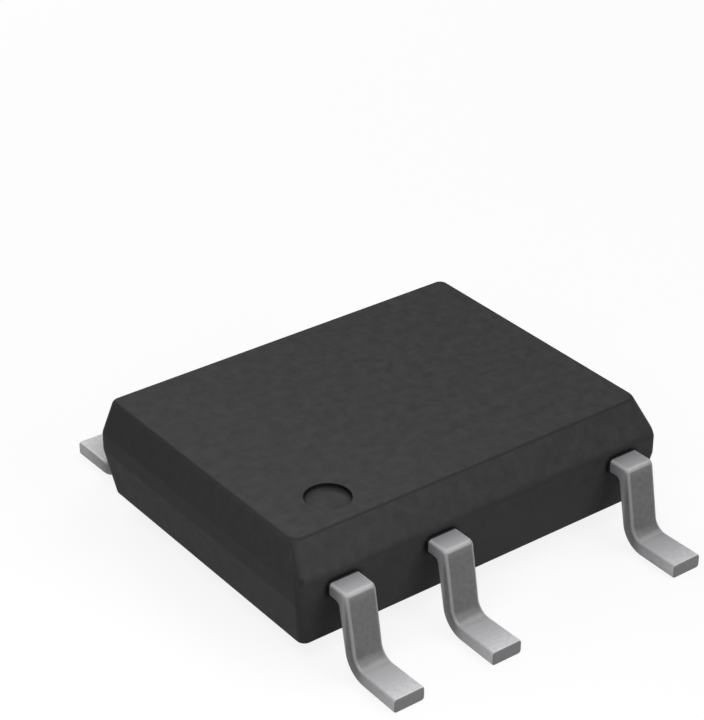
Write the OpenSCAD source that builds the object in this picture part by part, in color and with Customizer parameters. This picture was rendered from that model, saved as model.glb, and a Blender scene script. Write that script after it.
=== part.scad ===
// Small-outline chip: moulded case on gull-wing leads, eight positions with the third one left empty.
// X runs along the lead rows, Y across them and Z up from the board. The origin is the middle of the
// footprint, and the feet of the leads rest on Z = 0. All sizes are in millimetres.

/* [Case] */
// Length of the case at the parting band, along the lead rows
case_length = 4.89; // [4.7:0.01:5.1]
// Width of the case at the parting band, across the lead rows
case_width = 3.79; // [3.6:0.01:4.0]
// Height of the top face above the board
case_top = 1.42; // [1.36:0.01:1.6]
// Air between the board and the underside of the case
standoff = 0.21; // [0.1:0.01:0.25]
// Slope of the upper half of the sides, in degrees from upright
upper_draft = 13.5; // [5:0.5:18]
// Slope of the lower half of the sides, in degrees from upright
lower_draft = 9.5; // [5:0.5:15]
// Radius on the upright corners
corner_radius = 0.06; // [0.02:0.01:0.12]
// How far the parting band rises above the leads
band_above = 0.035; // [0.01:0.005:0.06]
// How far the parting band drops below the leads
band_below = 0.015; // [0.005:0.005:0.05]
// How far the bevel on the pin one side moves the edge of the top face in
bevel_setback = 0.155; // [0.08:0.005:0.25]
// How far the bevel on the pin one side comes down from the top face
bevel_drop = 0.34; // [0.2:0.01:0.38]

/* [Pin one mark] */
// Diameter of the round recess that marks pin one
mark_diameter = 0.515; // [0.3:0.005:0.8]
// Depth of the recess
mark_depth = 0.07; // [0.03:0.01:0.1]
// Slope of the wall of the recess, in degrees from upright
mark_draft = 22; // [5:1:40]
// Distance of the middle of the recess from the end of the case
mark_from_end = 0.87; // [0.7:0.01:1.2]
// Distance of the middle of the recess from the pin one side of the case
mark_from_side = 0.7; // [0.65:0.01:1.1]

/* [Leads] */
// Distance between neighbouring leads
pitch = 1.27; // [1.2:0.01:1.3]
// Width of a lead
lead_width = 0.385; // [0.31:0.005:0.5]
// Thickness of the lead metal
lead_thickness = 0.165; // [0.14:0.005:0.2]
// Height of the flat top of the leads where they leave the case
shoulder_height = 0.965; // [0.93:0.005:1.0]
// Overall width from foot tip to foot tip
span = 6.0; // [5.8:0.01:6.2]
// Distance from the case to the outer corner of the upper bend
shoulder_reach = 0.3; // [0.25:0.005:0.36]
// Slope of the middle of a lead, in degrees from upright
lead_slope = 11; // [4:0.5:14]
// Radius on the outside of the upper bend
knee_outer_radius = 0.06; // [0.03:0.005:0.1]
// Radius on the inside of the upper bend
knee_inner_radius = 0.07; // [0.03:0.005:0.1]
// Radius on the inside of the lower bend, on top of the foot
heel_radius = 0.16; // [0.08:0.005:0.2]
// Radius on the two upright corners of a foot tip
tip_radius = 0.04; // [0.02:0.005:0.08]

/* [Inner ends of the leads] */
// Width of the bonding pad on the inner end of a separate lead
finger_width = 0.62; // [0.5:0.01:0.75]
// How far the inner end of a separate lead reaches into the case
finger_reach = 0.72; // [0.6:0.01:0.8]
// Length of the narrow neck of a lead inside the case
neck_length = 0.3; // [0.22:0.01:0.35]
// Width of the rail that joins leads five to eight
rail_width = 0.24; // [0.15:0.01:0.3]

/* [Die pad] */
// Length of the die pad along the lead rows
pad_length = 3.1; // [2.6:0.05:3.4]
// Distance of the edge of the die pad from the middle line, on the pin one side
pad_near_edge = 0.85; // [0.75:0.01:0.95]
// How far the die pad lies below the plane of the leads
pad_drop = 0.25; // [0.2:0.01:0.3]
// Slope of the web that carries the die pad, in degrees from level
web_slope = 45; // [35:1:55]

/* [Die] */
// Length of the die along the lead rows
die_length = 1.7; // [1.4:0.05:1.9]
// Width of the die across the lead rows
die_width = 1.2; // [0.9:0.05:1.3]
// Thickness of the die
die_thickness = 0.25; // [0.2:0.01:0.28]
// Distance of the middle of the die from the middle line, toward the pin one side
die_offset = 0.12; // [0.05:0.01:0.2]
// Thickness of the adhesive under the die
attach_thickness = 0.03; // [0.02:0.005:0.05]
// How far the adhesive shows past each edge of the die
attach_margin = 0.05; // [0.02:0.01:0.08]

/* [Bond wires] */
// Diameter of a bond wire
wire_diameter = 0.05; // [0.04:0.005:0.06]
// Diameter of the ball at the die end of a wire
ball_diameter = 0.11; // [0.09:0.005:0.13]
// Height of the ball
ball_height = 0.035; // [0.025:0.005:0.05]
// Diameter of the flat stitch at the far end of a wire
stitch_diameter = 0.12; // [0.1:0.005:0.14]
// Thickness of the stitch
stitch_height = 0.02; // [0.015:0.005:0.03]
// Straight rise of a wire above the die before it bends
wire_rise = 0.1; // [0.06:0.01:0.12]
// Length of the last, falling part of a wire, seen from above
wire_landing = 0.2; // [0.15:0.01:0.25]
// Distance of a ball from the edge of the die
ball_margin = 0.12; // [0.1:0.01:0.16]

/* [Hidden] */
$fn = 64;

half_length = case_length / 2;
half_width = case_width / 2;
lead_bottom = shoulder_height - lead_thickness;
band_top = shoulder_height + band_above;
band_bottom = lead_bottom - band_below;
upper_inset = (case_top - band_top) * tan(upper_draft);
lower_inset = (band_bottom - standoff) * tan(lower_draft);

// Places of the leads along X, by lead number; the third position is empty
function lead_x(n) = (n <= 4 ? n - 2.5 : 6.5 - n) * pitch;

pad_top = shoulder_height - pad_drop;
attach_top = pad_top + attach_thickness;
die_top = attach_top + die_thickness;
finger_end = half_width - finger_reach;
rail_outer = half_width - neck_length;
rail_inner = rail_outer - rail_width;
pad_far_edge = rail_inner - pad_drop / tan(web_slope);

// The part of a corner that lies between its point p and an arc of radius r that touches both edges.
// d1 and d2 are the directions of the edges, and reach is how far the piece runs past them.
module corner_web(p, d1, d2, r, reach) {
    bisector = (d1 + d2) / norm(d1 + d2);
    half_angle = acos(d1 * d2) / 2;
    c = p + bisector * r / sin(half_angle);
    t1 = p + d1 * r / tan(half_angle);
    t2 = p + d2 * r / tan(half_angle);
    m1 = (t1 - c) / r * reach;
    m2 = (t2 - c) / r * reach;
    difference() {
        polygon([c, t1, t1 + m1, p - bisector * reach / sin(half_angle), t2 + m2, t2]);
        translate(c) circle(r);
    }
}

// Side view of a gull-wing lead: y runs outward from the middle line and z up from the board
module lead_profile() {
    slope = [sin(lead_slope), -cos(lead_slope)];
    knee = [half_width + shoulder_reach, shoulder_height];
    inner_knee = knee + lead_thickness * [-tan((90 - lead_slope) / 2), -1];
    heel = knee + slope * (shoulder_height - lead_thickness) / cos(lead_slope);
    sole = heel + lead_thickness * [-tan((90 - lead_slope) / 2), -1];
    tip = span / 2;
    start = half_width - neck_length;
    difference() {
        union() {
            polygon([[start, shoulder_height], knee, heel, [tip, lead_thickness], [tip, 0],
                     sole, inner_knee, [start, lead_bottom]]);
            corner_web(inner_knee, [-1, 0], slope, knee_inner_radius, lead_thickness / 4);
            corner_web(heel, [1, 0], -slope, heel_radius, lead_thickness / 4);
        }
        corner_web(knee, [-1, 0], slope, knee_outer_radius, lead_thickness / 4);
        corner_web(sole, [1, 0], -slope, heel_radius + lead_thickness, lead_thickness / 4);
    }
}

// The formed part of a lead, from the neck inside the case to the foot tip, pointing along +Y
module gull_wing() {
    difference() {
        rotate([90, 0, 90])
            linear_extrude(lead_width, center = true)
                lead_profile();
        for (side = [-1, 1])
            translate([0, 0, -lead_thickness])
                linear_extrude(3 * lead_thickness)
                    corner_web([side * lead_width / 2, span / 2], [-side, 0], [0, -1],
                               tip_radius, tip_radius);
    }
}

// A separate lead on the pin one side, with its bonding finger inside the case
module separate_lead(n) {
    translate([lead_x(n), 0, 0]) mirror([0, 1, 0]) {
        gull_wing();
        translate([0, 0, lead_bottom])
            linear_extrude(lead_thickness)
                polygon([[-finger_width / 2, finger_end],
                         [finger_width / 2, finger_end],
                         [finger_width / 2, rail_outer - (finger_width - lead_width) / 2],
                         [lead_width / 2, rail_outer],
                         [-lead_width / 2, rail_outer],
                         [-finger_width / 2, rail_outer - (finger_width - lead_width) / 2]]);
    }
}

// Die pad, web, rail and leads five to eight, stamped as one piece
module stamped_pad_frame() {
    web_length = pad_length;
    rail_length = lead_x(5) - lead_x(8) + lead_width;
    for (n = [5:8])
        translate([lead_x(n), 0, 0]) gull_wing();
    translate([-rail_length / 2, rail_inner, lead_bottom])
        cube([rail_length, rail_width, lead_thickness]);
    rotate([90, 0, 90])
        linear_extrude(web_length, center = true)
            polygon([[-pad_near_edge, pad_top - lead_thickness],
                     [pad_far_edge + lead_thickness * tan(web_slope / 2), pad_top - lead_thickness],
                     [rail_inner + lead_thickness * tan(web_slope / 2), lead_bottom],
                     [rail_inner + lead_thickness * tan(web_slope / 2), shoulder_height],
                     [rail_inner, shoulder_height],
                     [pad_far_edge, pad_top],
                     [-pad_near_edge, pad_top]]);
}

module die_block(grow, z0, h) {
    translate([-die_length / 2 - grow, -die_offset - die_width / 2 - grow, z0])
        cube([die_length + 2 * grow, die_width + 2 * grow, h]);
}

// A straight length of wire from a to b, both as [distance along the wire's plane, height]
module wire_length(a, b) {
    translate([a[0], 0, a[1]])
        rotate([0, 90 - atan2(b[1] - a[1], b[0] - a[0]), 0])
            cylinder(d = wire_diameter, h = norm(b - a));
}

// The rounded kink between two straight lengths
module wire_kink(a) {
    translate([a[0], 0, a[1]]) sphere(d = wire_diameter * 1.12);
}

// A bond wire from a ball on the die at p to a flat stitch at q, where the metal lies at height z
module bond_wire(p, q, z) {
    run = norm(q - p);
    crown = die_top + ball_height + wire_rise;
    lift = [0, crown];
    fall = [run - wire_landing, crown + wire_diameter / 2];
    translate([p[0], p[1], 0])
        rotate([0, 0, atan2(q[1] - p[1], q[0] - p[0])]) {
            translate([0, 0, die_top]) cylinder(d = ball_diameter, h = ball_height);
            translate([run, 0, z]) cylinder(d = stitch_diameter, h = stitch_height);
            wire_length([0, die_top + ball_height / 2], lift);
            wire_kink(lift);
            wire_length(lift, fall);
            wire_kink(fall);
            difference() {
                wire_length(fall, [run, z]);
                translate([run - stitch_diameter, -stitch_diameter, z + stitch_height / 2 - 1])
                    cube([2 * stitch_diameter, 2 * stitch_diameter, 1]);
            }
        }
}

near_balls = -die_offset - die_width / 2 + ball_margin;
far_balls = -die_offset + die_width / 2 - ball_margin;
finger_y = -finger_end - stitch_diameter;
rail_y = rail_inner + rail_width / 2;

module wires(which) {
    if (which == "1")
        bond_wire([-die_length / 2 + ball_margin, near_balls], [lead_x(1), finger_y], shoulder_height);
    if (which == "2")
        bond_wire([-die_length / 5, near_balls], [lead_x(2), finger_y], shoulder_height);
    if (which == "4_left")
        bond_wire([die_length / 4, near_balls],
                  [lead_x(4) - finger_width / 4, finger_y], shoulder_height);
    if (which == "4_right")
        bond_wire([die_length / 2 - ball_margin, near_balls],
                  [lead_x(4) + finger_width / 4, finger_y], shoulder_height);
    if (which == "pad_left")
        bond_wire([-die_length / 4, far_balls], [-die_length / 4, rail_y], shoulder_height);
    if (which == "pad_right")
        bond_wire([die_length / 4, far_balls], [die_length / 4, rail_y], shoulder_height);
}

// What lies outside the rounding of an upright edge between two sides that both lean in by draft degrees.
// The edge starts at the origin and climbs by rise, with the case on its -X side.
module edge_waste(draft, rise) {
    lean = atan(sqrt(2) * tan(draft));
    half_angle = 90 - acos(pow(sin(draft), 2)) / 2;
    overrun = 4 * corner_radius;
    rotate([0, -lean, 0])
        translate([0, 0, -overrun])
            linear_extrude(rise / cos(lean) + 2 * overrun)
                corner_web([0, 0], [-cos(half_angle), sin(half_angle)], [-cos(half_angle), -sin(half_angle)],
                           corner_radius, corner_radius / 2);
}

// The three stretches of one upright corner: up from the band, along the band and down from it
module corner_waste() {
    translate([0, 0, band_top]) edge_waste(upper_draft, case_top - band_top);
    translate([0, 0, band_bottom]) edge_waste(0, band_top - band_bottom);
    translate([0, 0, band_bottom]) mirror([0, 0, 1]) edge_waste(lower_draft, band_bottom - standoff);
}

// Section of the case for a given half width: both drafts with the upright parting band between.
// near_edge holds the points at the upper corner on the negative side, which the bevel changes.
module case_section(half, near_edge) {
    polygon(concat([[-half + lower_inset, standoff], [half - lower_inset, standoff], [half, band_bottom],
                    [half, band_top], [half - upper_inset, case_top]],
                   near_edge,
                   [[-half, band_top], [-half, band_bottom]]));
}

module case_form() {
    square_edge = [[-half_length + upper_inset, case_top]];
    bevelled_edge = [[-half_width + upper_inset + bevel_setback, case_top],
                     [-half_width + upper_inset - bevel_drop * tan(upper_draft), case_top - bevel_drop]];
    difference() {
        intersection() {
            rotate([90, 0, 0])
                linear_extrude(2 * case_width, center = true)
                    case_section(half_length, square_edge);
            rotate([90, 0, 90])
                linear_extrude(2 * case_length, center = true)
                    case_section(half_width, bevelled_edge);
        }
        for (sx = [-1, 1], sy = [-1, 1])
            translate([sx * half_length, sy * half_width, 0])
                rotate([0, 0, atan2(sy, sx)])
                    corner_waste();
        pin_one_recess();
    }
}

module pin_one_recess() {
    taper = 2 * mark_depth * tan(mark_draft);
    translate([-half_length + mark_from_end, -half_width + mark_from_side, case_top - mark_depth])
        cylinder(d1 = mark_diameter - taper, d2 = mark_diameter + taper, h = 2 * mark_depth);
}

module case() {
    color("dimgray") difference() {
        case_form();
        for (n = [1, 2, 4])
            separate_lead(n);
        stamped_pad_frame();
        die_block(attach_margin, pad_top, attach_thickness);
        die_block(0, attach_top, die_thickness);
        for (which = ["1", "2", "4_left", "4_right", "pad_left", "pad_right"])
            wires(which);
    }
}

module lead_1() { color("silver") separate_lead(1); }
module lead_2() { color("silver") separate_lead(2); }
module lead_4() { color("silver") separate_lead(4); }
module pad_frame() { color("lightgray") stamped_pad_frame(); }
module die_attach() { color("gold") die_block(attach_margin, pad_top, attach_thickness); }
module die() { color("slategray") die_block(0, attach_top, die_thickness); }
module wire_1() { color("orange") wires("1"); }
module wire_2() { color("orange") wires("2"); }
module wire_4_left() { color("orange") wires("4_left"); }
module wire_4_right() { color("orange") wires("4_right"); }
module wire_pad_left() { color("orange") wires("pad_left"); }
module wire_pad_right() { color("orange") wires("pad_right"); }

case();
lead_1();
lead_2();
lead_4();
pad_frame();
die_attach();
die();
wire_1();
wire_2();
wire_4_left();
wire_4_right();
wire_pad_left();
wire_pad_right();
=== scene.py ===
"""Small-outline chip: the looks of its moulded case and tinned leads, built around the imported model.

+X runs along the lead rows, +Y across them and +Z up from the board. Shapes are worked out in millimetres
and turned into metres when a piece is finished.
"""

import functools
import math

import bmesh
import bpy
from mathutils import Matrix, Vector


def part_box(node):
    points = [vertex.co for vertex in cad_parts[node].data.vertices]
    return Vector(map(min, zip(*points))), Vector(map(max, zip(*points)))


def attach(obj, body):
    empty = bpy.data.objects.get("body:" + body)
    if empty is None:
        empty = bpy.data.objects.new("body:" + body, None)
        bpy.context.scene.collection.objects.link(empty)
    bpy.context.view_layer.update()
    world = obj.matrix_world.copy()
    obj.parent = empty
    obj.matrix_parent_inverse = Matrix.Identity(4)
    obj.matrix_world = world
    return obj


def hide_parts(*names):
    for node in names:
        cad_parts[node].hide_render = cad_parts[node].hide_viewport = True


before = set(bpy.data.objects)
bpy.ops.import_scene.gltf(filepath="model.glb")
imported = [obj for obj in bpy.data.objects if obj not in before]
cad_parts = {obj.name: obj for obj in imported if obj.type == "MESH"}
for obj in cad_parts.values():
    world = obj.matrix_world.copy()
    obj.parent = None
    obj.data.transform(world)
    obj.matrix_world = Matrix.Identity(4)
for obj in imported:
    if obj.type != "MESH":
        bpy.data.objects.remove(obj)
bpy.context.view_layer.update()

MM = 0.001
BODY = "root"

# Smooth shading: edges that turn further than this stay sharp, and large faces stay flat
SHARP_ANGLE = math.radians(34)
FLAT_FACE_WEIGHT = 80

# The case
UPPER_DRAFT = math.radians(13.5)
LOWER_DRAFT = math.radians(9.5)
BAND_TOP = 1.0
BAND_BOTTOM = 0.785
BEVEL_SETBACK = 0.155
BEVEL_DROP = 0.34
TOP_EDGE_RADIUS = 0.06
BOTTOM_EDGE_RADIUS = 0.045
BAND_EDGE_RADIUS = 0.25
BEVEL_FOOT_RADIUS = 0.24
CORNER_RADIUS = 0.1
BEVEL_END_RADIUS = 0.16
EDGE_STEPS = 8
CORNER_STEPS = 12

# The round mark beside lead one
MARK_CENTRE = (-1.575, -1.195)
MARK_RADIUS = 0.253
MARK_DEPTH = 0.07
MARK_DRAFT = math.radians(12)
MARK_RIM_RADIUS = 0.01
MARK_FLOOR_RADIUS = 0.02
MARK_SIDES = 96

# The leads. They are numbered anticlockwise from the round mark, and position three is empty
SEPARATE_LEADS = (1, 2, 4)
PAD_LEADS = (5, 6, 7, 8)
LEADS_IN_ROW = 4
PITCH = 1.27
LEAD_WIDTH = 0.385
LEAD_THICKNESS = 0.165
SHOULDER_REACH = 0.3
LEAD_SLOPE = math.radians(11)
KNEE_OUTER_RADIUS = 0.06
KNEE_INNER_RADIUS = 0.07
HEEL_RADIUS = 0.16
LONG_EDGE_RADIUS = 0.045
TIP_EDGE_RADIUS = 0.032
TIP_ROUNDING = 0.018
BEND_STEPS = 14
ROUND_STEPS = 6
WELD_GAP = 0.0001

# The leads and the die pad inside the case
NECK_LENGTH = 0.3
FINGER_WIDTH = 0.62
FINGER_REACH = 0.72
RAIL_WIDTH = 0.24
LEG_THINNING = 0.01
PAD_LENGTH = 3.1
PAD_NEAR_EDGE = 0.85
PAD_DROP = 0.25
WEB_SLOPE = math.radians(45)

# The part of the grain's clouds that makes its tone, from its darkest to its lightest
CLOUD_RANGE = (0.3, 0.7)

# Tones and finish of the moulding compound, with painted shade on its edges, in its crevices and in its
# round mark
COMPOUND_DARK = (0.056, 0.056, 0.056)
COMPOUND_LIGHT = (0.080, 0.080, 0.080)
# painted shade on the case's upper edges and bevel ends, whose rounding faces away from the lamps
COMPOUND_EDGE_SHADE = (0.046, 0.046, 0.046)
# painted shade along the crease at the foot of the bevel
BEVEL_FOOT_SHADE = (0.059, 0.059, 0.059)
# painted shade on the upper wall of the round mark
MARK_WALL_SHADE = (0.008, 0.008, 0.008)
# painted shade in crevices and round the roots of the leads, from ambient occlusion
CREVICE_SHADE = (0.005, 0.005, 0.005)
CREVICE_OPENNESS = (0.6, 0.98)
CREVICE_SAMPLES = 8
COMPOUND_ROUGHNESS = (0.55, 0.65)
COMPOUND_SHEEN = 0.1
COMPOUND_RELIEF = 0.003

# Tones and finish of the tin, with painted shade on its slopes and shoulder roots, painted light towards
# its tips and painted highlights on its edges and knees
# painted shade: the slope of each lead, which faces the dark front, is painted darker
SHADED_SLOPE_DARK = (0.18, 0.18, 0.18)
SHADED_SLOPE_LIGHT = (0.25, 0.25, 0.25)
# painted shade at the shoulder's root beside the case, fading out towards the knee
SHOULDER_ROOT_SHADE = (0.36, 0.36, 0.375)
SHOULDER_KNEE_TONE = (0.60, 0.60, 0.62)
FOOT_TONE = (0.65, 0.65, 0.67)
# painted light: the feet grow patchily lighter towards the tips, which the lead and case shade less
LIT_TOE_TONE = (0.98, 0.98, 1.0)
TOE_LIGHT_SPREAD = (0.6, 1.4)
# painted highlight on the lead's long edges and the outside of its knee
EDGE_HIGHLIGHT_TONE = (0.94, 0.94, 0.95)
EDGE_HIGHLIGHT_STRENGTH = 0.37
CUT_TONE = (0.32, 0.32, 0.32)
# mould flash on the root of each lead, painted darker than the compound as shade
FLASH_AND_SHADE_TONE = (0.02, 0.02, 0.02)
TIN_SURFACE = {"Roughness": 0.4, "Metallic": 0.1, "Specular IOR Level": 0.4}
METAL_RELIEF = 0.0005

# Finishes of the pieces inside: darker tone, lighter tone, share of metal and roughness
SILICON = ((0.20, 0.21, 0.24), (0.26, 0.27, 0.31), 0.6, 0.25)
ADHESIVE = ((0.48, 0.48, 0.47), (0.58, 0.58, 0.57), 0.4, 0.5)
COPPER = ((0.68, 0.36, 0.24), (0.76, 0.44, 0.31), 1, 0.3)
ROUGHNESS_SPREAD = 0.1

# How a surface faces where a tone or a painted shade or highlight shows, 1 being straight that way: from,
# to, fade before, fade after
UPPER_EDGE_UPWARD = (0.75, 0.92, 0.13, 0.075)
BEVEL_END_SIDEWAYS = (0.45, 0.7, 0.2, 0.15)
BEVEL_END_UPWARD = (0.32, 0.5, 0.1, 0.15)
BEVEL_FOOT_UPWARD = (0.18, 0.25, 0.12, 0.15)
# where the painted highlight on the leads shows
HIGHLIGHT_SIDEWAYS = (0.4, 0.7, 0.35, 0.28)
HIGHLIGHT_UPWARD = (0.6, 0.85, 0.35, 0.15)

# Where other tones and painted shades begin and end: by how a surface faces, or as shares of the mark's
# radius and depth
BEVEL_SIDE_FACING = (-0.9, -0.7)
MARK_WALL_FACING = (0.4, 0.8)
MARK_REACH = (1.1, 1.2)
MARK_SHADE_DEPTHS = (0.9, 0.4)

# How far tones and painted shades reach: crevices, the root of a lead, its knee, its heel and its cut tip
CREVICE_REACH = 0.08
FLASH_REACH = 0.035
FLASH_FADE = 0.01
KNEE_LEAD_IN = 0.045
KNEE_LEAD_OUT = 0.03
KNEE_HIGHLIGHT_HEIGHTS = (0.6, 0.7)
HEEL_LEAD_IN = 0.03
HEEL_LEAD_OUT = 0.21
CUT_DEPTH = 0.007
CUT_FADE = 0.003

# The floor, its colour for light and its colour and glow as the camera and mirrors see it
FLOOR_HALF = 1500
FLOOR_COLOUR = (0.12, 0.12, 0.12)
FLOOR_SEEN_COLOUR = (0.2, 0.2, 0.2)
FLOOR_SEEN_GLOW = 0.86

# The lamps, which face one target: bearing and height in degrees, distance, size and power in watts
LAMP_TARGET = (0, 0, 0.8)
LAMPS = {
    "left_panel": (215, 42, 11, 6.8, 0.00037),
    "right_panel": (0, 60, 70, 43, 0.0125),
    "front_panel": (290, 32, 42, 26, 0.0046),
    "back_panel": (90, 38, 42, 26, 0.0057),
}

# The camera that the reference picture was taken with
CAMERA_PLACE = (-13.120, -16.857, 14.324)
CAMERA_AZIMUTH = math.radians(-37.116)
CAMERA_ELEVATION = math.radians(30.119)
CAMERA_ROLL = math.radians(0.129)
CAMERA_LENS = 113.62
CAMERA_SENSOR = 36
CAMERA_CLIP = (1, 10000)

# Where Blender's Mix node keeps its two colours and their blend
FIRST_COLOUR = 6
SECOND_COLOUR = 7
BLENDED_COLOUR = 2


def in_mm(corner):
    """A corner of a box of the frame, in millimetres."""
    return [value / MM for value in corner]


case_low, case_high = (in_mm(corner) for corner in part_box("case"))
_, frame_high = (in_mm(corner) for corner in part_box("pad_frame"))
HALF_LENGTH = case_high[0]
HALF_WIDTH = case_high[1]
CASE_BOTTOM = case_low[2]
CASE_TOP = case_high[2]
SHOULDER_HEIGHT = frame_high[2]
LEAD_BOTTOM = SHOULDER_HEIGHT - LEAD_THICKNESS

# Places along a lead, as distances from the middle of the case
NECK_ROOT = HALF_WIDTH - NECK_LENGTH
KNEE = HALF_WIDTH + SHOULDER_REACH
HEEL = KNEE + LEAD_BOTTOM * math.tan(LEAD_SLOPE)
TIP = frame_high[1]

# Where the tone of the plating, and the painted shade and light on it, change along a lead
FLASH_END = HALF_WIDTH + FLASH_REACH
KNEE_START = KNEE - KNEE_LEAD_IN
KNEE_END = KNEE + KNEE_LEAD_OUT
HEEL_START = HEEL - HEEL_LEAD_IN
HEEL_END = HEEL + HEEL_LEAD_OUT
CUT_START = TIP - CUT_DEPTH


def lead_x(number):
    """Place of a lead along its row."""
    middle = (LEADS_IN_ROW + 1) / 2
    return (number - middle if number <= LEADS_IN_ROW else LEADS_IN_ROW + middle - number) * PITCH


def mesh_object(name, bm):
    """A new object in the scene from a mesh, with the mesh's faces turned outward."""
    bmesh.ops.recalc_face_normals(bm, faces=bm.faces)
    mesh = bpy.data.meshes.new(name)
    bm.to_mesh(mesh)
    bm.free()
    piece = bpy.data.objects.new(name, mesh)
    bpy.context.scene.collection.objects.link(piece)
    return piece


def settle(piece):
    """Turns a piece's modifiers into its mesh."""
    bpy.context.view_layer.update()
    graph = bpy.context.evaluated_depsgraph_get()
    mesh = bpy.data.meshes.new_from_object(piece.evaluated_get(graph))
    piece.modifiers.clear()
    old = piece.data
    piece.data = mesh
    mesh.name = piece.name
    bpy.data.meshes.remove(old)


def close_slivers(bm):
    """Gives each small hole that cutting left open between faces a face of its own."""
    open_edges = [edge for edge in bm.edges if edge.is_boundary]
    while open_edges:
        hole = [open_edges[0]]
        for edge in hole:
            beside = [other for other in open_edges if set(other.verts) & set(edge.verts)]
            hole += [other for other in beside if other not in hole]
        bmesh.ops.contextual_create(bm, geom=hole)
        open_edges = [edge for edge in open_edges if edge not in hole]


def carve(piece, operation, tools):
    """Joins tools to a piece or cuts them out of it, one after another, and deletes them."""
    for tool in tools:
        step = piece.modifiers.new("carve", "BOOLEAN")
        step.operation = operation
        step.solver = "EXACT"
        step.object = tool
        settle(piece)
        bpy.data.objects.remove(tool)
    bm = bmesh.new()
    bm.from_mesh(piece.data)
    close_slivers(bm)
    bmesh.ops.recalc_face_normals(bm, faces=bm.faces)
    bm.to_mesh(piece.data)
    bm.free()


def copy_of(piece):
    """A second object with a mesh of its own."""
    twin = piece.copy()
    twin.data = piece.data.copy()
    bpy.context.scene.collection.objects.link(twin)
    return twin


def finish_piece(piece, nodes, material):
    """Gives a finished mesh its real size, smooth shading, finish and place in the frame."""
    piece.data.transform(Matrix.Scale(MM, 4))
    piece.data.shade_smooth()
    piece.data.set_sharp_from_angle(angle=SHARP_ANGLE)
    flats = piece.modifiers.new("flats stay flat", "WEIGHTED_NORMAL")
    flats.mode = "FACE_AREA"
    flats.weight = FLAT_FACE_WEIGHT
    flats.keep_sharp = True
    piece.data.materials.clear()
    piece.data.materials.append(material)
    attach(piece, BODY)
    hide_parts(*nodes)


def ring_faces(bm, rings, cap_ends=True):
    """Joins rings of equally many vertices into a tube, with or without caps on its ends."""
    for near, far in zip(rings, rings[1:]):
        for k in range(len(near)):
            after = (k + 1) % len(near)
            bm.faces.new((near[k], near[after], far[after], far[k]))
    if cap_ends:
        bm.faces.new(rings[0])
        bm.faces.new(rings[-1])


def quarter_turn(quarter, steps):
    """Angles through one quarter of a turn."""
    return [math.pi / 2 * (quarter + k / steps) for k in range(steps + 1)]


def bend(corner, before, after, radius, steps):
    """Points along the arc that rounds a corner between the directions before and after it."""
    half = math.acos(-before.dot(after)) / 2
    centre = corner + (after - before).normalized() * radius / math.sin(half)
    start = corner - before * radius / math.tan(half) - centre
    end = corner + after * radius / math.tan(half) - centre
    angle = start.angle_signed(end)
    return [centre + Matrix.Rotation(-angle * k / steps, 2) @ start for k in range(steps + 1)]


def rounded_line(corners, radii):
    """Points along a line of (reach, height) corners, its inner corners rounded and its ends left out."""
    points = []
    for before, corner, after, radius in zip(corners, corners[1:], corners[2:], radii):
        arrive = (Vector(corner) - Vector(before)).normalized()
        leave = (Vector(after) - Vector(corner)).normalized()
        points += bend(Vector(corner), arrive, leave, radius, EDGE_STEPS)
    return points


def reach_at(line, height):
    """Reach of a line of (reach, height) points at a height, the line rising from first to last."""
    for low, high in zip(line, line[1:]):
        if height <= high[1]:
            share = (height - low[1]) / (high[1] - low[1])
            return low[0] + share * (high[0] - low[0])
    return line[-1][0]


def side_lines(half_band, setback):
    """One side of the case from the bottom edge to the top edge, with square and with rounded edges."""
    bottom = half_band - (BAND_BOTTOM - CASE_BOTTOM) * math.tan(LOWER_DRAFT)
    foot_height = CASE_TOP - BEVEL_DROP
    foot = half_band - (foot_height - BAND_TOP) * math.tan(UPPER_DRAFT)
    top = half_band - (CASE_TOP - BAND_TOP) * math.tan(UPPER_DRAFT) - setback
    square = [(bottom, CASE_BOTTOM), (half_band, BAND_BOTTOM), (half_band, BAND_TOP)]
    radii = [BOTTOM_EDGE_RADIUS, BAND_EDGE_RADIUS, BAND_EDGE_RADIUS]
    if setback:
        square.append((foot, foot_height))
        radii.append(BEVEL_FOOT_RADIUS)
    square.append((top, CASE_TOP))
    radii.append(TOP_EDGE_RADIUS)
    rounded = rounded_line([(0, CASE_BOTTOM)] + square + [(0, CASE_TOP)], radii)
    return square, rounded


def corner_radius(height, near_bevel):
    """Radius of the case's corners at a height, wider towards the top where the bevel meets the ends."""
    foot = CASE_TOP - BEVEL_DROP
    if not near_bevel or height < foot:
        return CORNER_RADIUS
    return CORNER_RADIUS + (BEVEL_END_RADIUS - CORNER_RADIUS) * (height - foot) / BEVEL_DROP


def case_section(height, ends, back, front):
    """Points round the case at a height. Each side comes as its square and its rounded line."""
    x, y_back, y_front = (reach_at(rounded, height) for _, rounded in (ends, back, front))
    pulled_in = reach_at(ends[0], height) - x
    points = []
    for quarter, (side_x, y) in enumerate(((1, y_back), (-1, y_back), (-1, -y_front), (1, -y_front))):
        radius = corner_radius(height, y < 0) - pulled_in
        centre = (side_x * (x - radius), y - math.copysign(radius, y))
        for a in quarter_turn(quarter, CORNER_STEPS):
            points.append((centre[0] + radius * math.cos(a), centre[1] + radius * math.sin(a), height))
    return points


def mark_profile():
    """Radius and depth of the round mark from its rolled rim down to its rounded floor edge."""
    wall_foot = MARK_RADIUS - MARK_DEPTH * math.tan(MARK_DRAFT)
    line = [(2 * MARK_RADIUS, 0), (MARK_RADIUS, 0), (wall_foot, -MARK_DEPTH), (0, -MARK_DEPTH)]
    return rounded_line(line, [MARK_RIM_RADIUS, MARK_FLOOR_RADIUS])


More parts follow.
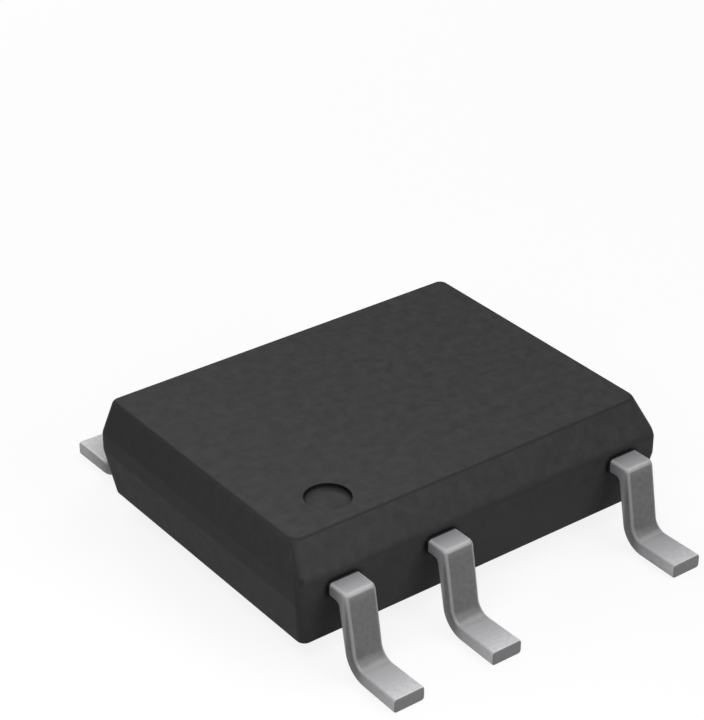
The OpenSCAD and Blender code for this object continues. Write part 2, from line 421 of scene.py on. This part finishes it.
def moulded_case():
    """The case with all its edges rounded and the round mark sunk into its top."""
    ends = side_lines(HALF_LENGTH, 0)
    back = side_lines(HALF_WIDTH, 0)
    front = side_lines(HALF_WIDTH, BEVEL_SETBACK)
    heights = sorted({round(point[1], 4) for side in (ends, front) for point in side[1]})
    bm = bmesh.new()
    rings = [[bm.verts.new(point) for point in case_section(z, ends, back, front)] for z in heights]
    ring_faces(bm, rings, cap_ends=False)
    bm.faces.new(rings[0])
    turns = [math.tau * k / MARK_SIDES for k in range(MARK_SIDES)]
    x, y = MARK_CENTRE
    mark = [[bm.verts.new((x + r * math.cos(a), y + r * math.sin(a), CASE_TOP + z)) for a in turns]
            for r, z in mark_profile()]
    ring_faces(bm, mark, cap_ends=False)
    bm.faces.new(mark[-1])
    rims = [bm.edges.get((ring[k - 1], ring[k])) for ring in (rings[-1], mark[0]) for k in range(len(ring))]
    bmesh.ops.triangle_fill(bm, edges=rims, use_beauty=True, normal=(0, 0, 1))
    return mesh_object("moulded_case", bm)


def lead_run():
    """Pairs of points on the upper and lower skin of a lead, as (y, z), round its knee and its heel."""
    level = Vector((1, 0))
    slope = Vector((math.sin(LEAD_SLOPE), -math.cos(LEAD_SLOPE)))
    across = LEAD_THICKNESS * Vector((-math.tan((math.pi / 2 - LEAD_SLOPE) / 2), -1))
    knee = Vector((KNEE, SHOULDER_HEIGHT))
    heel = knee + slope * LEAD_BOTTOM / math.cos(LEAD_SLOPE)
    upper = bend(knee, level, slope, KNEE_OUTER_RADIUS, BEND_STEPS)
    upper += bend(heel, slope, level, HEEL_RADIUS, BEND_STEPS)
    lower = bend(knee + across, level, slope, KNEE_INNER_RADIUS, BEND_STEPS)
    lower += bend(heel + across, slope, level, HEEL_RADIUS + LEAD_THICKNESS, BEND_STEPS)
    return zip(upper, lower)


def lead_section(top, bottom, width, radius=LONG_EDGE_RADIUS, shrink=0):
    """Corners of one rounded cross-section of a lead, as points in the lead's own frame."""
    middle = (top + bottom) / 2
    rise = (top - bottom) / 2
    half_height = rise.length - shrink
    half_width = width / 2 - shrink
    up = rise.normalized()
    points = []
    for quarter in range(4):
        halfway = math.pi / 2 * (quarter + 0.5)
        side = math.copysign(half_width - radius, math.cos(halfway))
        height = math.copysign(half_height - radius, math.sin(halfway))
        for a in quarter_turn(quarter, ROUND_STEPS):
            across = side + radius * math.cos(a)
            place = middle + up * (height + radius * math.sin(a))
            points.append((across, place.x, place.y))
    return points


def lead_mesh(name, number, inner_stations):
    """A formed lead. Its stations in the case are (y, width, thinning), innermost first."""
    sections = []
    for y, width, thinning in inner_stations:
        top, bottom = Vector((y, SHOULDER_HEIGHT)), Vector((y, LEAD_BOTTOM))
        sections.append(lead_section(top, bottom, width, shrink=thinning))
    for top, bottom in lead_run():
        sections.append(lead_section(top, bottom, LEAD_WIDTH))
    for a in quarter_turn(0, ROUND_STEPS):
        y = TIP - TIP_ROUNDING * (1 - math.sin(a))
        top, bottom = Vector((y, LEAD_THICKNESS)), Vector((y, 0))
        shrink = TIP_ROUNDING * (1 - math.cos(a))
        sections.append(lead_section(top, bottom, LEAD_WIDTH, TIP_EDGE_RADIUS, shrink))
    middle = lead_x(number)
    side = -1 if number <= LEADS_IN_ROW else 1
    bm = bmesh.new()
    rings = [[bm.verts.new((middle + x, side * y, z)) for x, y, z in section] for section in sections]
    ring_faces(bm, rings)
    bmesh.ops.remove_doubles(bm, verts=bm.verts, dist=WELD_GAP)
    return mesh_object(name, bm)


def finger_stations():
    """Where a separate lead widens into its bonding finger inside the case."""
    finger_end = HALF_WIDTH - FINGER_REACH
    taper_end = NECK_ROOT - (FINGER_WIDTH - LEAD_WIDTH) / 2
    return [(finger_end, FINGER_WIDTH, 0), (taper_end, FINGER_WIDTH, 0), (NECK_ROOT, LEAD_WIDTH, 0)]


def leg_stations():
    """Where a lead of the pad frame leaves the rail. It starts a little thinner, inside the rail."""
    in_rail = NECK_ROOT - RAIL_WIDTH / 2
    past_rail = NECK_ROOT + LEAD_THICKNESS / 2
    return [(in_rail, LEAD_WIDTH, LEG_THINNING), (past_rail, LEAD_WIDTH, 0)]


def pad_plate():
    """The die pad, its web and the rail that leads five to eight grow from, as one closed mesh."""
    rail_inner = NECK_ROOT - RAIL_WIDTH
    rail_half = (lead_x(PAD_LEADS[0]) - lead_x(PAD_LEADS[-1]) + LEAD_WIDTH) / 2
    pad_half = PAD_LENGTH / 2
    pad_top = SHOULDER_HEIGHT - PAD_DROP
    pad_far = rail_inner - PAD_DROP / math.tan(WEB_SLOPE)
    lag = LEAD_THICKNESS * math.tan(WEB_SLOPE / 2)
    under_pad = [(-PAD_NEAR_EDGE, pad_top - LEAD_THICKNESS), (pad_far + lag, pad_top - LEAD_THICKNESS)]
    over_pad = [(pad_far, pad_top), (-PAD_NEAR_EDGE, pad_top)]
    web_foot = (rail_inner + lag, LEAD_BOTTOM)
    inner_foot = (rail_inner, LEAD_BOTTOM)
    outer_foot = (NECK_ROOT, LEAD_BOTTOM)
    outer_top = (NECK_ROOT, SHOULDER_HEIGHT)
    inner_top = (rail_inner, SHOULDER_HEIGHT)
    outline = [*under_pad, web_foot, outer_foot, outer_top, inner_top, *over_pad]
    pad_end = [*under_pad, web_foot, inner_foot, inner_top, *over_pad]
    rail_end = [inner_foot, outer_foot, outer_top, inner_top]
    bm = bmesh.new()
    point = functools.cache(lambda x, place: bm.verts.new((x, *place)))

    def face(*corners):
        """A face through corners, each its x and its (y, z) place."""
        bm.faces.new([point(x, place) for x, place in corners])

    for near, far in zip(outline, outline[1:] + outline[:1]):
        face((-pad_half, near), (pad_half, near), (pad_half, far), (-pad_half, far))
    for pad_x, rail_x in ((-pad_half, -rail_half), (pad_half, rail_half)):
        face(*((pad_x, place) for place in pad_end))
        face(*((rail_x, place) for place in rail_end))
        for near, far in zip(rail_end[1:], rail_end[2:] + rail_end[:1]):
            face((pad_x, near), (rail_x, near), (rail_x, far), (pad_x, far))
        under = [(pad_x, inner_foot), (pad_x, web_foot), (pad_x, outer_foot)]
        face(*under, (rail_x, outer_foot), (rail_x, inner_foot))
    return mesh_object("formed_pad_frame", bm)


def shader_group(name, inputs, outputs):
    """An empty group of shader nodes with named sockets, and its two end nodes."""
    group = bpy.data.node_groups.new(name, "ShaderNodeTree")
    for label, value in inputs.items():
        socket = group.interface.new_socket(label, in_out="INPUT", socket_type="NodeSocketFloat")
        socket.default_value = value
    for label in outputs:
        group.interface.new_socket(label, in_out="OUTPUT", socket_type="NodeSocketFloat")
    return group, group.nodes.new("NodeGroupInput"), group.nodes.new("NodeGroupOutput")


def add_node(tree, kind, **settings):
    """A new node with its settings."""
    node = tree.nodes.new(kind)
    for key, value in settings.items():
        setattr(node, key, value)
    return node


def set_inputs(node, values):
    """Gives inputs of a node their values, by label."""
    for label, value in values.items():
        node.inputs[label].default_value = value


def object_points(tree):
    """The place of each point of a piece, in metres."""
    return add_node(tree, "ShaderNodeTexCoord").outputs["Object"]


def noise(tree, scale, detail, roughness):
    """Noise over a piece. Its scale comes from a socket, in grains to the metre."""
    node = add_node(tree, "ShaderNodeTexNoise")
    tree.links.new(object_points(tree), node.inputs["Vector"])
    tree.links.new(scale, node.inputs["Scale"])
    set_inputs(node, {"Detail": detail, "Roughness": roughness})
    return node.outputs["Fac"]


def math_node(tree, operation, first, second=0, clamp=False):
    """A reckoning with two values, each a socket or a number."""
    node = add_node(tree, "ShaderNodeMath", operation=operation, use_clamp=clamp)
    for socket, value in zip(node.inputs, (first, second)):
        if isinstance(value, bpy.types.NodeSocket):
            tree.links.new(value, socket)
        else:
            socket.default_value = value
    return node.outputs["Value"]


def remap(tree, value, low, high, new_low, new_high, smooth=False):
    """Carries the range between low and high over to a new one, and stops at its ends."""
    node = add_node(tree, "ShaderNodeMapRange", interpolation_type="SMOOTHSTEP" if smooth else "LINEAR")
    tree.links.new(value, node.inputs["Value"])
    set_inputs(node, {"From Min": low, "From Max": high, "To Min": new_low, "To Max": new_high})
    return node.outputs["Result"]


def blend_colours(tree, factor, first, second):
    """The first colour where the factor is nothing and the second where it is one."""
    node = add_node(tree, "ShaderNodeMix", data_type="RGBA")
    tree.links.new(factor, node.inputs["Factor"])
    for place, colour in ((FIRST_COLOUR, first), (SECOND_COLOUR, second)):
        if isinstance(colour, bpy.types.NodeSocket):
            tree.links.new(colour, node.inputs[place])
        else:
            node.inputs[place].default_value = (*colour, 1)
    return node.outputs[BLENDED_COLOUR]


def build_grain_group():
    """Fine surface grain: a height for bumps, and a tone that drifts over the surface."""
    group, source, sink = shader_group("fine_grain", {"Grains": 30000, "Clouds": 900}, ("Height", "Tone"))
    fine = noise(group, source.outputs["Grains"], detail=3, roughness=0.6)
    cloud = noise(group, source.outputs["Clouds"], detail=6, roughness=0.65)
    group.links.new(fine, sink.inputs["Height"])
    group.links.new(remap(group, cloud, *CLOUD_RANGE, 0, 1), sink.inputs["Tone"])
    return group


def place_group(tree, group, **values):
    """A group of shader nodes in a material, with the material's own values."""
    node = add_node(tree, "ShaderNodeGroup", node_tree=group)
    set_inputs(node, values)
    return node


def new_finish(name):
    """A material with a plain surface shader, and its tree and shader."""
    material = bpy.data.materials.new(name)
    material.use_nodes = True
    return material, material.node_tree, material.node_tree.nodes["Principled BSDF"]


def bump(tree, height, depth, shader):
    """Turns a height between 0 and 1 into relief of the given depth in millimetres."""
    node = add_node(tree, "ShaderNodeBump")
    set_inputs(node, {"Distance": depth * MM, "Strength": 1})
    tree.links.new(height, node.inputs["Height"])
    tree.links.new(node.outputs["Normal"], shader.inputs["Normal"])


def pulse(tree, value, low, high, rise, fall):
    """One between low and high, fading to nothing over the rise before them and the fall after them."""
    start = remap(tree, value, low - rise, low, 0, 1, smooth=True)
    end = remap(tree, value, high, high + fall, 1, 0, smooth=True)
    return math_node(tree, "MULTIPLY", start, end)


def axes_of(tree, vector):
    """The X, Y and Z of a vector, as sockets."""
    split = add_node(tree, "ShaderNodeSeparateXYZ")
    tree.links.new(vector, split.inputs["Vector"])
    return split.outputs


def facing_axes(tree):
    """How far the surface faces along each axis of the frame."""
    return axes_of(tree, add_node(tree, "ShaderNodeNewGeometry").outputs["Normal"])


def mark_masks(tree, facing):
    """Two masks: one inside the round mark, and one for the painted shade on its wall that fades towards
    its floor.
    """
    points = object_points(tree)
    away = add_node(tree, "ShaderNodeVectorMath", operation="DISTANCE")
    tree.links.new(points, away.inputs[0])
    away.inputs[1].default_value = Vector((*MARK_CENTRE, CASE_TOP)) * MM
    inner, outer = (share * MARK_RADIUS * MM for share in MARK_REACH)
    near = remap(tree, away.outputs["Value"], inner, outer, 1, 0)
    height = axes_of(tree, points)["Z"]
    sunk = remap(tree, height, (CASE_TOP - MARK_RIM_RADIUS) * MM, CASE_TOP * MM, 1, 0)
    inside = math_node(tree, "MULTIPLY", near, sunk)
    deep, shallow = ((CASE_TOP - share * MARK_DEPTH) * MM for share in MARK_SHADE_DEPTHS)
    upper = remap(tree, height, deep, shallow, 0, 1)
    steep = remap(tree, facing["Z"], *MARK_WALL_FACING, 1, 0)
    return inside, math_node(tree, "MULTIPLY", near, math_node(tree, "MULTIPLY", upper, steep))


def compound_finish(grain):
    """Matte, finely grained compound, with painted shade in its crevices, on its upper edges, round its
    bevel and on the wall of its round mark.
    """
    material, tree, shader = new_finish("moulding_compound")
    skin = place_group(tree, grain, Grains=26000, Clouds=7000)
    facing = facing_axes(tree)
    colour = blend_colours(tree, skin.outputs["Tone"], COMPOUND_DARK, COMPOUND_LIGHT)
    # Painted shade on the upper edges and on the ends of the bevel
    sideways = pulse(tree, math_node(tree, "ABSOLUTE", facing["X"]), *BEVEL_END_SIDEWAYS)
    bevel_ends = math_node(tree, "MULTIPLY", sideways, pulse(tree, facing["Z"], *BEVEL_END_UPWARD))
    edges = math_node(tree, "MAXIMUM", pulse(tree, facing["Z"], *UPPER_EDGE_UPWARD), bevel_ends)
    colour = blend_colours(tree, edges, colour, COMPOUND_EDGE_SHADE)
    # Painted shade along the crease at the foot of the bevel
    bevel_side = remap(tree, facing["Y"], *BEVEL_SIDE_FACING, 1, 0)
    bevel_foot = math_node(tree, "MULTIPLY", bevel_side, pulse(tree, facing["Z"], *BEVEL_FOOT_UPWARD))
    colour = blend_colours(tree, bevel_foot, colour, BEVEL_FOOT_SHADE)
    # Painted shade in crevices, from ambient occlusion, left out inside the round mark
    crevice = add_node(tree, "ShaderNodeAmbientOcclusion", samples=CREVICE_SAMPLES)
    set_inputs(crevice, {"Distance": CREVICE_REACH * MM})
    in_mark, mark_wall_shade = mark_masks(tree, facing)
    openness = remap(tree, crevice.outputs["AO"], *CREVICE_OPENNESS, 0, 1)
    open_air = math_node(tree, "MAXIMUM", openness, in_mark)
    colour = blend_colours(tree, open_air, CREVICE_SHADE, colour)
    # Painted shade on the upper wall of the round mark
    colour = blend_colours(tree, mark_wall_shade, colour, MARK_WALL_SHADE)
    roughness = remap(tree, skin.outputs["Tone"], 0, 1, *COMPOUND_ROUGHNESS)
    tree.links.new(colour, shader.inputs["Base Color"])
    tree.links.new(roughness, shader.inputs["Roughness"])
    set_inputs(shader, {"Specular IOR Level": COMPOUND_SHEEN})
    bump(tree, skin.outputs["Height"], COMPOUND_RELIEF, shader)
    return material


def highlight_mask(tree, place):
    """One on a lead's long edges and on the outside of its knee, for the painted highlight where they catch
    light.
    """
    facing = facing_axes(tree)
    edges = pulse(tree, math_node(tree, "ABSOLUTE", facing["X"]), *HIGHLIGHT_SIDEWAYS)
    knee = pulse(tree, facing["Z"], *HIGHLIGHT_UPWARD)
    high = remap(tree, place["Z"], *(height * MM for height in KNEE_HIGHLIGHT_HEIGHTS), 0, 1)
    return math_node(tree, "MAXIMUM", edges, math_node(tree, "MULTIPLY", knee, high))


def tin_finish(grain):
    """Matte tin plating with painted shade on slopes and shoulder roots, painted light towards the tips,
    painted highlights on edges and knees, and darker where the tips were cut.
    """
    material, tree, shader = new_finish("matte_tin")
    skin = place_group(tree, grain, Grains=42000, Clouds=18000)
    place = axes_of(tree, object_points(tree))
    reach = math_node(tree, "ABSOLUTE", place["Y"])

    def along(start, end, before, after, smooth=True):
        """The tone before one place along the lead, the tone after another and a blend between them."""
        return blend_colours(tree, remap(tree, reach, start * MM, end * MM, 0, 1, smooth), before, after)

    # Painted shade on the slope of each lead
    slope = blend_colours(tree, skin.outputs["Tone"], SHADED_SLOPE_DARK, SHADED_SLOPE_LIGHT)
    # Painted shade at the shoulder's root, fading out towards the knee
    shoulder = along(FLASH_END, KNEE_START, SHOULDER_ROOT_SHADE, SHOULDER_KNEE_TONE, smooth=False)
    tone = along(KNEE_START, KNEE_END, shoulder, slope)
    tone = along(HEEL_START, HEEL_END, tone, FOOT_TONE)
    # Painted light on the feet, patchily lighter towards the tips
    towards_tip = remap(tree, reach, HEEL_END * MM, TIP * MM, 0, 1)
    patches = remap(tree, skin.outputs["Tone"], 0, 1, *TOE_LIGHT_SPREAD)
    toe_light = math_node(tree, "MULTIPLY", towards_tip, patches, clamp=True)
    tone = blend_colours(tree, toe_light, tone, LIT_TOE_TONE)
    # Painted highlight on the long edges and the knee
    highlight = math_node(tree, "MULTIPLY", highlight_mask(tree, place), EDGE_HIGHLIGHT_STRENGTH)
    tone = blend_colours(tree, highlight, tone, EDGE_HIGHLIGHT_TONE)
    tone = along(CUT_START - CUT_FADE, CUT_START, tone, CUT_TONE)
    # Mould flash at the root of the lead, painted darker than the compound as shade
    tone = along(FLASH_END - FLASH_FADE, FLASH_END, FLASH_AND_SHADE_TONE, tone)
    tree.links.new(tone, shader.inputs["Base Color"])
    set_inputs(shader, TIN_SURFACE)
    bump(tree, skin.outputs["Height"], METAL_RELIEF, shader)
    return material


def plain_metal(name, grain, dark, light, metallic, rough):
    """The finish of a piece inside the case: a base tone with fine grain."""
    material, tree, shader = new_finish(name)
    skin = place_group(tree, grain, Grains=50000, Clouds=3000)
    tree.links.new(blend_colours(tree, skin.outputs["Tone"], dark, light), shader.inputs["Base Color"])
    roughness = remap(tree, skin.outputs["Tone"], 0, 1, rough, rough + ROUGHNESS_SPREAD)
    tree.links.new(roughness, shader.inputs["Roughness"])
    set_inputs(shader, {"Metallic": metallic})
    bump(tree, skin.outputs["Height"], METAL_RELIEF, shader)
    return material


def build_floor():
    """A wide pale floor. The camera and mirrors see it white, with the chip's soft shadow on it."""
    half = FLOOR_HALF * MM
    corners = ((-half, -half), (half, -half), (half, half), (-half, half))
    bm = bmesh.new()
    bm.faces.new([bm.verts.new((x, y, 0)) for x, y in corners])
    floor = mesh_object("floor", bm)
    material, tree, shader = new_finish("pale_floor")
    path = add_node(tree, "ShaderNodeLightPath")
    seen = math_node(tree, "MAXIMUM", path.outputs["Is Camera Ray"], path.outputs["Is Glossy Ray"])
    seen = math_node(tree, "MAXIMUM", seen, path.outputs["Is Transmission Ray"])
    colour = blend_colours(tree, seen, FLOOR_COLOUR, FLOOR_SEEN_COLOUR)
    glow = math_node(tree, "MULTIPLY", seen, FLOOR_SEEN_GLOW)
    tree.links.new(colour, shader.inputs["Base Color"])
    tree.links.new(glow, shader.inputs["Emission Strength"])
    set_inputs(shader, {"Emission Color": (1, 1, 1, 1), "Roughness": 1, "Specular IOR Level": 0})
    floor.data.materials.append(material)


def soft_lamp(name, bearing, height, distance, size, watts):
    """A square soft lamp that faces the chip."""
    turn = math.radians(bearing)
    rise = math.radians(height)
    away = Vector((math.cos(turn) * math.cos(rise), math.sin(turn) * math.cos(rise), math.sin(rise)))
    light = bpy.data.lights.new(name, "AREA")
    light.shape = "SQUARE"
    light.size = size * MM
    light.energy = watts
    lamp = bpy.data.objects.new(name, light)
    lamp.location = (away * distance + Vector(LAMP_TARGET)) * MM
    lamp.rotation_euler = away.to_track_quat("Z", "Y").to_euler()
    bpy.context.scene.collection.objects.link(lamp)


def build_lights():
    """Four soft lamps in a dark room."""
    world = bpy.data.worlds.new("studio")
    world.use_nodes = True
    set_inputs(world.node_tree.nodes["Background"], {"Color": (0, 0, 0, 1), "Strength": 1})
    bpy.context.scene.world = world
    for name, values in LAMPS.items():
        soft_lamp(name, *values)


def build_camera():
    """The camera of the reference picture."""
    data = bpy.data.cameras.new("camera")
    data.sensor_fit = "VERTICAL"
    data.sensor_height = CAMERA_SENSOR
    data.sensor_width = CAMERA_SENSOR
    data.lens = CAMERA_LENS
    data.clip_start, data.clip_end = (distance * MM for distance in CAMERA_CLIP)
    camera = bpy.data.objects.new("camera", data)
    camera.matrix_world = (Matrix.Translation(Vector(CAMERA_PLACE) * MM)
                           @ Matrix.Rotation(CAMERA_AZIMUTH, 4, "Z")
                           @ Matrix.Rotation(math.pi / 2 - CAMERA_ELEVATION, 4, "X")
                           @ Matrix.Rotation(CAMERA_ROLL, 4, "Z"))
    bpy.context.scene.collection.objects.link(camera)
    bpy.context.scene.camera = camera


def build_chip():
    """The case, the leads and the pad frame with new shapes, and every piece with its finish."""
    grain = build_grain_group()
    compound = compound_finish(grain)
    tin = tin_finish(grain)

    leads = {n: lead_mesh(f"formed_lead_{n}", n, finger_stations()) for n in SEPARATE_LEADS}
    pad = pad_plate()
    carve(pad, "UNION", [lead_mesh(f"leg_{n}", n, leg_stations()) for n in PAD_LEADS])

    case = moulded_case()
    carve(case, "DIFFERENCE", [copy_of(piece) for piece in (*leads.values(), pad)])

    finish_piece(case, ["case"], compound)
    for number, piece in leads.items():
        finish_piece(piece, [f"lead_{number}"], tin)
    finish_piece(pad, ["pad_frame"], tin)

    inner = {
        "die": plain_metal("polished_silicon", grain, *SILICON),
        "die_attach": plain_metal("silver_adhesive", grain, *ADHESIVE),
    }
    wire = plain_metal("copper_wire", grain, *COPPER)
    inner.update({name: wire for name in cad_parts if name.startswith("wire_")})
    for name, material in inner.items():
        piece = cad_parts[name]
        piece.data.materials.clear()
        piece.data.materials.append(material)


build_camera()
build_lights()
build_floor()
build_chip()

view = bpy.context.scene.view_settings
view.view_transform = "Standard"
